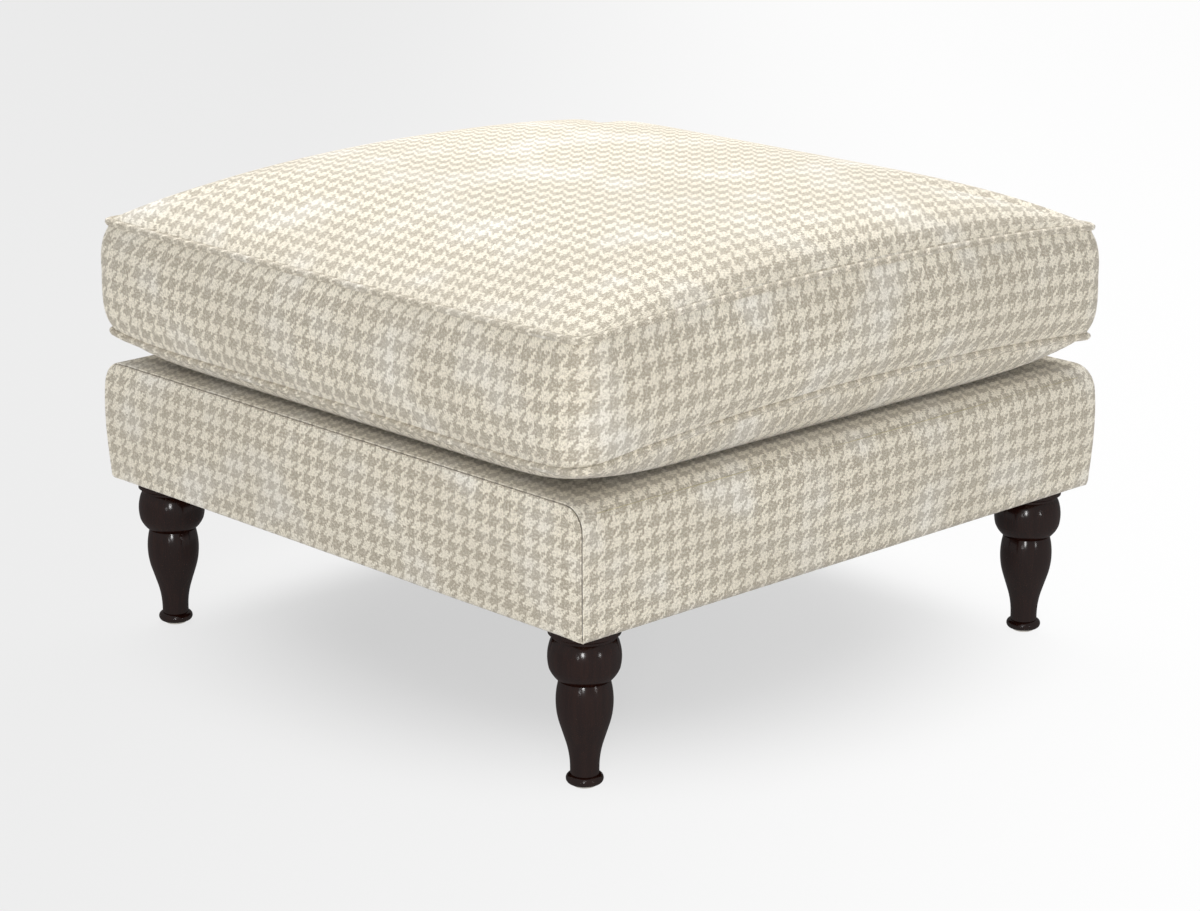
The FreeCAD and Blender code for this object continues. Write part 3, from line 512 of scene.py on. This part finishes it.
# Turned legs: maple with a near-black brown lacquer, polished, with its grain running down the leg.
# The lacquer is thin enough for the grain to show a little browner in it.
lacquer = Finish("leg_lacquer", Specular_IOR_Level=0.0, Coat_Weight=0.12, Coat_Roughness=0.16, Coat_IOR=2.2)
leg_grain = lacquer.speckle(lacquer.at((60.0, 60.0, 3.0)), 3.0, 5.0, 0.65)
lacquer.feed("Base Color", lacquer.mix(leg_grain.within(0.38, 0.68), shade(25, 9, 6), shade(33, 15, 10)))
lacquer.feed("Roughness", 0.28 + leg_grain * 0.14)
lacquer.raise_by(leg_grain, 0.0004, 0.06)
finish_node(["leg_" + corner for corner in corners], lacquer.material)


# Loose cushion: a box case of the same cloth round a foam core with fibre above and below, plump in the
# crown. Its seams pull in between the corners, the border swells between them, and the underside tucks in to
# the deck.
seam_low, seam_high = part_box("piping_bottom"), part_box("piping_top")
low_z = (seam_low[0].z + seam_low[1].z) / 2
high_z = (seam_high[0].z + seam_high[1].z) / 2
piping_radius = (seam_high[1].z - seam_high[0].z) / 2
piping_half = seam_high[1].x - piping_radius
rest_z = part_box("cushion_bottom_panel")[0].z + 0.0002
case_half, contact_half = 0.3345, 0.300
seam_corner, soft_corner = 0.009, 0.012
seam_draw, seam_rise = 0.006, 0.0034


def square_ring(side, along, half_side, corner, draw, soft):
    """A point on a drawn-in square: side 0 to 3 from the front, counted anticlockwise, along from -1 to 1.
    Its front left corner is softer than the others."""
    if (side, along < 0) in ((0, True), (3, False)):
        corner += soft
    share = corner / half_side
    length = 1 - share + share * math.pi / 4
    walk = abs(along) * length
    if walk <= 1 - share:
        out, run = 1.0, walk
    else:
        angle = (walk - (1 - share)) / share
        out = 1 - share + share * math.cos(angle)
        run = 1 - share + share * math.sin(angle)
    out = out * half_side - draw * (1 - run ** 2)
    run = math.copysign(run * half_side, along)
    return Matrix.Rotation(math.pi / 2 * side, 3, "Z") @ Vector((run, -out, 0))


def ring_place(a, b):
    """Turns a place on a square panel into its ring, the side it is on and how far along."""
    x, y = 2 * a - 1, 2 * b - 1
    ring = max(abs(x), abs(y))
    if ring < 1e-9:
        return 0.0, 0, 0.0
    if abs(y) >= abs(x):
        return (ring, 0, x / ring) if y < 0 else (ring, 2, -x / ring)
    return (ring, 1, y / ring) if x > 0 else (ring, 3, -y / ring)


def seam_lift(side, along, corners, middles, powers):
    """A seam's height above its level: at the corners, front left first, and in the middle of each side."""
    start, stop = corners[side], corners[(side + 1) % 4]
    return start + (stop - start) * (along + 1) / 2 + middles[side] * (1 - abs(along) ** powers[side])


def bow(side, along):
    """How far the top seam is lifted by the filling."""
    corners, middles = (0.007, 0.003, 0.006, 0.003), (0.0105, 0.0025, 0.0025, -0.004)
    return seam_lift(side, along, corners, middles, (2.5, 2, 2, 4))


def low_bow(side, along):
    """How far the bottom seam is lifted, or hangs towards the deck."""
    corners, middles = (-0.006, -0.005, -0.004, -0.0055), (0.0135, 0.003, 0.003, -0.008)
    return seam_lift(side, along, corners, middles, (2.2, 4, 4, 8))


# The crown's height, how much fuller it is on the left and in two corners, and how steeply it falls to each
# side outside of its flat part
crown_height, crown_lean, crown_twist = 0.045, 0.052, 0.14
fall_left, fall_right, fall_front, fall_back = 1.7, 2.84, 6.5, 8
crown_flat = 0.8


def top_lie(a, b):
    """Top panel: a runs from left to right, b from the front to the back."""
    ring, side, along = ring_place(a, b)
    x, y = 2 * a - 1, 2 * b - 1
    point = Vector((x, y, 0)) * case_half
    if ring > crown_flat:
        edge = square_ring(side, along, case_half * ring, seam_corner * ring, seam_draw * ring,
                           soft_corner * ring)
        near = (ring - crown_flat) / 0.2
        point = point.lerp(edge, near * near * (3 - 2 * near))
    full = 1 - crown_lean * x - crown_twist * x * y
    fall_x = 1 - abs(x) ** (fall_left if x < 0 else fall_right)
    fall_y = 1 - abs(y) ** (fall_front if y < 0 else fall_back)
    point.z = high_z + seam_rise + bow(side, along) * ring ** 3
    point.z += crown_height * full * (fall_x * fall_y) ** 0.5
    return point


# How round the flat part on the deck is, as a share of the cushion's half width
contact_round = 0.34


def bottom_lie(a, b):
    """Bottom panel: flat on the deck, then tucked up and out to its seam."""
    ring, side, along = ring_place(a, b)
    start = contact_half / case_half
    turn = max(0.0, (ring - start) / (1 - start))
    corner = seam_corner + (contact_round * case_half - seam_corner) * (1 - turn) ** 1.2
    reach = case_half * max(ring, 1e-6)
    if turn > 0:
        reach = contact_half + (case_half - contact_half) * math.sin(turn * math.pi / 2)
    point = square_ring(side, along, reach, min(corner, 0.6 * reach), seam_draw * turn ** 2,
                        soft_corner * turn)
    rise = (1 - math.cos(turn * math.pi / 2)) ** 0.7
    point.z = rest_z + (low_z + low_bow(side, along) - rest_z) * rise
    return point


# How far the border bulges, less at the zip, and how much softer its corners then are
border_out, zip_out, corner_swell = 0.0115, 0.0094, 0.008
# Where the zip's band ends, as shares of the back, and the share of the height that its slot takes
zip_end, zip_blend = 0.935, 0.05
slot_share, slot_depth = 0.0495, 0.0036
# The border's last strip below the top seam rises to it
rise_start, rise_share = 0.96, 0.04


def in_zip(side, along):
    """How much of the zip band's hold is felt, 0 to 1."""
    return max(0.0, min(1.0, (zip_end - abs(along)) / zip_blend)) if side == 2 else 0.0


def border_lie(a, b):
    """Border: a runs round the four sides from the back left corner, b from the bottom seam to the top."""
    turn = min(3, int(a * 4))
    along = 2 * (a * 4 - turn) - 1
    side = (turn + 3) % 4
    bulge = 1 - abs(2 * b - 1) ** 4.2
    hold = in_zip(side, along)
    reach = case_half + (border_out * (1 - hold) + zip_out * hold) * bulge
    draw = seam_draw * (1 - bulge)
    if hold > 0.99 and abs(b - 0.5) < slot_share:
        reach -= slot_depth
    point = square_ring(side, along, reach, seam_corner + corner_swell * bulge, draw,
                        soft_corner * (1 + bulge))
    low, high = low_z + low_bow(side, along), high_z + bow(side, along)
    flat = low_z + b * (high_z - low_z)
    point.z = low + b * (high - low) + (flat - low - b * (high - low)) * hold * (1 - abs(2 * b - 1) ** 3)
    point.z += seam_rise * max(0.0, b - rise_start) / rise_share
    return point


def nearest(at):
    """The number of the panel's stop at a place."""
    return min(range(len(panel_stops)), key=lambda number: abs(panel_stops[number] - at))


near_seam = [0.0, 0.006, 0.014, 0.024, 0.036]
panel_stops = near_seam + [0.05 + 0.9 * at for at in even(68)] + [1 - stop for stop in reversed(near_seam)]
across_top = route([top_lie(stop, 0.5) for stop in panel_stops])
along_top = route([top_lie(0.5, stop) for stop in panel_stops])
border_stops = [0.0, 0.02, 0.05, 0.1, 0.17, 0.25, 0.33, 0.40, 0.43, 0.442, 0.448, 0.452, 0.475,
                0.5, 0.525, 0.548, 0.552, 0.558, 0.57, 0.60, 0.67, 0.75, 0.83, 0.9, 0.95, 0.98, 1.0]
around_stops = [(turn + stop) / 4 for turn in range(4) for stop in panel_stops[:-1]] + [1.0]
border_cut = 8 * case_half
case = cloth_grid(panel_stops, panel_stops, top_lie,
                  lambda a, b: (across_top[nearest(a)], along_top[nearest(b)]))
for lie, across, up, cut in (
        (border_lie, around_stops, border_stops, lambda a, b: (a * border_cut, b * (high_z - low_z))),
        (bottom_lie, panel_stops, panel_stops, lambda a, b: (-2 * a * case_half, 2 * b * case_half))):
    part = cloth_grid(across, up, lie, cut)
    spare = bpy.data.meshes.new("spare")
    part.to_mesh(spare)
    part.free()
    case.from_mesh(spare)
    bpy.data.meshes.remove(spare)
join_gap = 0.0003
bmesh.ops.remove_doubles(case, verts=case.verts[:], dist=join_gap)
bmesh.ops.recalc_face_normals(case, faces=case.faces[:])
cushion = piece("cushion_case", case, cloth, "cushion")


def bow_at(place, lift):
    """The lift of a seam beside a point."""
    x, y = place.x / case_half, place.y / case_half
    if abs(y) >= abs(x):
        return lift(0, x) if y < 0 else lift(2, -x)
    return lift(1, y) if x > 0 else lift(3, -y)


# How near a point lies to a seam or to the deck to be held there, and the held band's half length and height
seam_reach, seam_near, deck_near = 0.0065, 0.0008, 0.0004
band_half, band_rise = 0.315, 0.009


def held(place):
    """How firmly a point is held while the filling swells: wholly at the seams, the zip and the deck."""
    seam = min(abs(place.z - high_z - seam_rise - bow_at(place, bow)),
               abs(place.z - low_z - bow_at(place, low_bow)))
    outer = max(abs(place.x), abs(place.y)) > case_half - seam_reach
    if (seam < seam_near and outer) or place.z < rest_z + deck_near:
        return 1.0
    at_back = place.y > case_half - 0.001 and abs(place.x) < band_half
    return 1.0 if at_back and abs(place.z - (low_z + high_z) / 2) < band_rise else 0.0


# The filling swells the case for this many steps, and no point moves further than the cap
swell_steps, swell_cap = 20, 0.024
start = [vert.co.copy() for vert in cushion.data.vertices]
pins = cushion.vertex_groups.new(name="held")
for vert in cushion.data.vertices:
    pins.add([vert.index], held(vert.co), "REPLACE")
swelling = cushion.modifiers.new("swelling", "CLOTH")
swelling.settings.quality = 6
swelling.settings.mass = 0.3
swelling.settings.tension_stiffness = 25
swelling.settings.compression_stiffness = 12
swelling.settings.shear_stiffness = 8
swelling.settings.bending_stiffness = 1.5
swelling.settings.use_pressure = True
swelling.settings.uniform_pressure_force = 4.0
swelling.settings.vertex_group_mass = "held"
swelling.settings.effector_weights.gravity = 0.0
swelling.collision_settings.use_collision = False
swelling.point_cache.frame_start = 1
swelling.point_cache.frame_end = swell_steps
for step in range(1, swell_steps + 1):
    bpy.context.scene.frame_set(step)
swollen = cushion.evaluated_get(bpy.context.evaluated_depsgraph_get()).to_mesh()
moves = [vert.co - start[vert.index] for vert in swollen.vertices]
moves = [move * (swell_cap / move.length) if move.length > swell_cap else move for move in moves]
cushion.evaluated_get(bpy.context.evaluated_depsgraph_get()).to_mesh_clear()
cushion.modifiers.remove(swelling)
cushion.vertex_groups.clear()
for vert, place, move in zip(cushion.data.vertices, start, moves):
    vert.co = place + move
bpy.context.scene.frame_set(1)
smooth = cushion.modifiers.new("smooth", "SUBSURF")
smooth.levels = smooth.render_levels = 1
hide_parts("cushion_top_panel", "cushion_bottom_panel", "cushion_border", "zip_panel_upper",
            "zip_panel_lower", "cushion_core", "cushion_wadding_top", "cushion_wadding_bottom")


# Pipings: cord covered with a strip of the same cloth, sewn into both seams all the way round.
# They are a little uneven, stand out of the seams and end in small ears at the corners.
piping_corner = 0.006
strip_width, strip_start = 0.022, 0.009


def piping_lie(level, lift):
    """Piping: a runs round the four sides from the front left corner, b round the cord."""
    def lie(a, b):
        turn = int(a * 4)
        side, along = turn % 4, 2 * (a * 4 - turn) - 1
        point = square_ring(side, along, piping_half, piping_corner, seam_draw, soft_corner)
        ahead = square_ring(side, along + 0.002, piping_half, piping_corner, seam_draw, soft_corner)
        heading = (ahead - point).normalized()
        outward = Vector((heading.y, -heading.x, 0))
        angle = 2 * math.pi * b
        wobble = 0.0004 * noise.noise(Vector((point.x * 30, point.y * 30, level * 40)))
        radius = piping_radius * (1 + 0.05 * noise.noise(Vector((point.x * 70, point.y * 70, level * 90))))
        point = point + outward * (radius * math.cos(angle) + wobble)
        point.z = level + radius * math.sin(angle) + lift(side, along)
        return point
    return lie


for name, node, level, lift in (("piping_top_cloth", "piping_top", high_z, bow),
                                ("piping_bottom_cloth", "piping_bottom", low_z, low_bow)):
    bm = cloth_grid(even(720), even(14), piping_lie(level, lift),
                    lambda a, b: (a * 8 * piping_half, b * strip_width + strip_start))
    bmesh.ops.remove_doubles(bm, verts=bm.verts[:], dist=0.00002)
    bmesh.ops.recalc_face_normals(bm, faces=bm.faces[:])
    piping = piece(name, bm, cloth, "cushion")
    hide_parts(node)


# Zip: woven tape, nylon coil chain and metal slider in the back border, whose folded lips are topstitched.
# The metal is antique nickel; the coil is moulded in beige, and the thread matches the cream yarn.
def run_of(name, places, size, step, count, material):
    """Small rounded bars, repeated along the zip, for teeth and stitches."""
    bm = bmesh.new()
    for place in places:
        shape = Matrix.Translation(place) @ Matrix.Diagonal(Vector((size[0], size[1], size[2], 1.0)))
        bmesh.ops.create_uvsphere(bm, u_segments=8, v_segments=6, radius=0.5, matrix=shape)
    made = piece(name, bm, material, "cushion")
    repeat = made.modifiers.new("repeat", "ARRAY")
    repeat.count = count
    repeat.use_relative_offset = False
    repeat.use_constant_offset = True
    repeat.constant_offset_displace = (step, 0, 0)
    return made


zip_cloth = Finish("zip_tape_cloth", Roughness=0.9)
ribs = zip_cloth.speckle(zip_cloth.at(), 900.0, 2.0)
zip_cloth.feed("Base Color", zip_cloth.mix(ribs.within(0.3, 0.7), shade(204, 194, 172), shade(178, 166, 142)))
zip_cloth.raise_by(ribs, 0.0002, 0.6)
finish_node(["zip_tape"], zip_cloth.material)
nylon = Finish("zip_nylon", Roughness=0.4)
nylon_clouds = nylon.speckle(nylon.at(), 300.0, 2.0)
nylon.feed("Base Color", nylon.mix(nylon_clouds.within(0.3, 0.7), shade(182, 166, 136), shade(206, 192, 164)))
nylon.raise_by(nylon_clouds, 0.0001, 0.4)
chain_low, chain_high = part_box("zip_chain")
zip_mid = (chain_low + chain_high) / 2
tooth, tooth_pitch, tooth_pairs = (0.00145, 0.0024, 0.0040), 0.0032, 175
tooth_places = [Vector((chain_low.x + start, zip_mid.y, zip_mid.z + rise))
                for start, rise in ((0.0008, -0.0005), (0.0024, 0.0005))]
chain = run_of("zip_coil", tooth_places, tooth, tooth_pitch, tooth_pairs, nylon.material)
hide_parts("zip_chain")
finish_node(["zip_stops", "zip_slider", "zip_pull"], plated("zip_nickel", shade(170, 162, 146), 0.28))
thread = Finish("thread", Roughness=0.8)
twist = thread.speckle(thread.at((1.0, 1.0, 1.0), (0, 0.7, 0)), 1400.0, 1.0)
thread.feed("Base Color", thread.mix(twist.within(0.35, 0.65), shade(196, 186, 164), shade(232, 224, 204)))
thread.raise_by(twist, 0.0001, 0.5)
stitch, stitch_pitch, stitches = (0.0031, 0.0008, 0.0008), 0.0042, 143
stitch_rise, stitch_start = 0.0070, Vector((-0.2982, 0.0001, 0))
skin = cushion.evaluated_get(bpy.context.evaluated_depsgraph_get())
sewn = [skin.ray_cast(Vector((0, 0.4, zip_mid.z + rise)), Vector((0, -1, 0)))[1]
        for rise in (-stitch_rise, stitch_rise)]
run_of("zip_topstitching", [place + stitch_start for place in sewn], stitch, stitch_pitch, stitches,
       thread.material)


# Floor and backdrop: a wide pale sweep, lit softly from above and both sides, as in a studio.
# The floor fades into the pale background, which is a little greyer on the left.
floor_radius = 9.0
floor_mesh = bmesh.new()
bmesh.ops.create_circle(floor_mesh, cap_ends=True, segments=96, radius=floor_radius)
floor = bpy.data.meshes.new("floor")
floor_mesh.to_mesh(floor)
floor_mesh.free()
floor_finish = Finish("floor", Roughness=0.9, Specular_IOR_Level=0.1, Base_Color=shade(228, 228, 228))
rays = floor_finish.node("ShaderNodeLightPath").socket.node.outputs
seen = Amount(floor_finish, rays["Is Camera Ray"]) + Amount(floor_finish, rays["Is Glossy Ray"])
seen = seen + Amount(floor_finish, rays["Is Transmission Ray"])
from_middle = floor_finish.node("ShaderNodeVectorMath", {"operation": "LENGTH"}, {0: floor_finish.at()}, 1)
away = from_middle.within(0.22, 0.5)
view_turn = (0, 0, 0.76)
across_view = floor_finish.parts(floor_finish.at((1, 1, 1), view_turn))[0]
backdrop = floor_finish.mix(across_view.within(-0.65, 0.65), shade(236, 236, 236), shade(254, 254, 254))
pale = floor_finish.node("ShaderNodeEmission", {}, {"Color": backdrop, "Strength": 1.0})
swept = floor_finish.node("ShaderNodeMixShader", {}, {0: seen * (0.64 + away * 0.33), 2: pale})
floor_finish.links.new(floor_finish.shader.outputs["BSDF"], swept.socket.node.inputs[1])
floor_finish.links.new(swept.socket, floor_finish.nodes["Material Output"].inputs["Surface"])
floor.materials.append(floor_finish.material)
floor = bpy.data.objects.new("floor", floor)
bpy.context.scene.collection.objects.link(floor)

# The sky lights the stool plainly, and is near white to the camera and in reflections
world = bpy.data.worlds.new("studio")
bpy.context.scene.world = world
world.use_nodes = True
world_nodes, world_links = world.node_tree.nodes, world.node_tree.links
sky = world_nodes["Background"]
sky.inputs["Color"].default_value = (1.0, 1.0, 1.0, 1.0)
sky.inputs["Strength"].default_value = 0.58
seen_sky = world_nodes.new("ShaderNodeBackground")
seen_sky.inputs["Color"].default_value = shade(246, 246, 246)
world_rays = world_nodes.new("ShaderNodeLightPath").outputs
seeing = world_rays["Is Camera Ray"]
for ray in ("Is Glossy Ray", "Is Transmission Ray"):
    either = world_nodes.new("ShaderNodeMath")
    world_links.new(seeing, either.inputs[0])
    world_links.new(world_rays[ray], either.inputs[1])
    seeing = either.outputs[0]
both = world_nodes.new("ShaderNodeMixShader")
world_links.new(seeing, both.inputs[0])
world_links.new(sky.outputs[0], both.inputs[1])
world_links.new(seen_sky.outputs[0], both.inputs[2])
world_links.new(both.outputs[0], world_nodes["World Output"].inputs["Surface"])


def soft_lamp(name, azimuth, elevation, distance, width, power):
    """A round soft lamp, aimed at the stool from a direction in degrees."""
    lamp = bpy.data.lights.new(name, "AREA")
    lamp.shape = "DISK"
    lamp.size = width
    lamp.energy = power
    made = bpy.data.objects.new(name, lamp)
    turn, lift = math.radians(azimuth), math.radians(elevation)
    away = Vector((math.sin(turn) * math.cos(lift), -math.cos(turn) * math.cos(lift), math.sin(lift)))
    made.location = Vector((0, 0, 0.25)) + away * distance
    made.rotation_euler = away.to_track_quat("Z", "Y").to_euler()
    bpy.context.scene.collection.objects.link(made)


soft_lamp("overhead", 138, 66, 2.6, 1.8, 80)
soft_lamp("front_fill", -43, 38, 3.6, 1.2, 15)
soft_lamp("front", -48, 7, 3.6, 0.42, 30)
soft_lamp("low_left", -61, 1, 3.6, 0.2, 4)
soft_lamp("low_right", 0, 3, 3.6, 0.2, 6)


# Camera: 1.1 m above the floor, looking down on the front left corner with a long lens, so that the sides
# hardly taper. Its place and lens were fitted to the legs, the base's edges and the cushion's seams.
focal_pixels, photo_width, film_width = 3324.4, 1200, 36.0
camera = bpy.data.objects.new("camera", bpy.data.cameras.new("camera"))
bpy.context.scene.collection.objects.link(camera)
bpy.context.scene.camera = camera
aim = Vector((0.0013, -0.0013, 0.1758))
camera.location = Vector((-2.15190, -2.27506, 1.09567))
camera.rotation_euler = (aim - camera.location).to_track_quat("-Z", "Y").to_euler()
camera.data.sensor_width = film_width
camera.data.lens = focal_pixels / photo_width * film_width
camera.data.clip_end = 60.0
bpy.context.scene.view_settings.view_transform = "Standard"
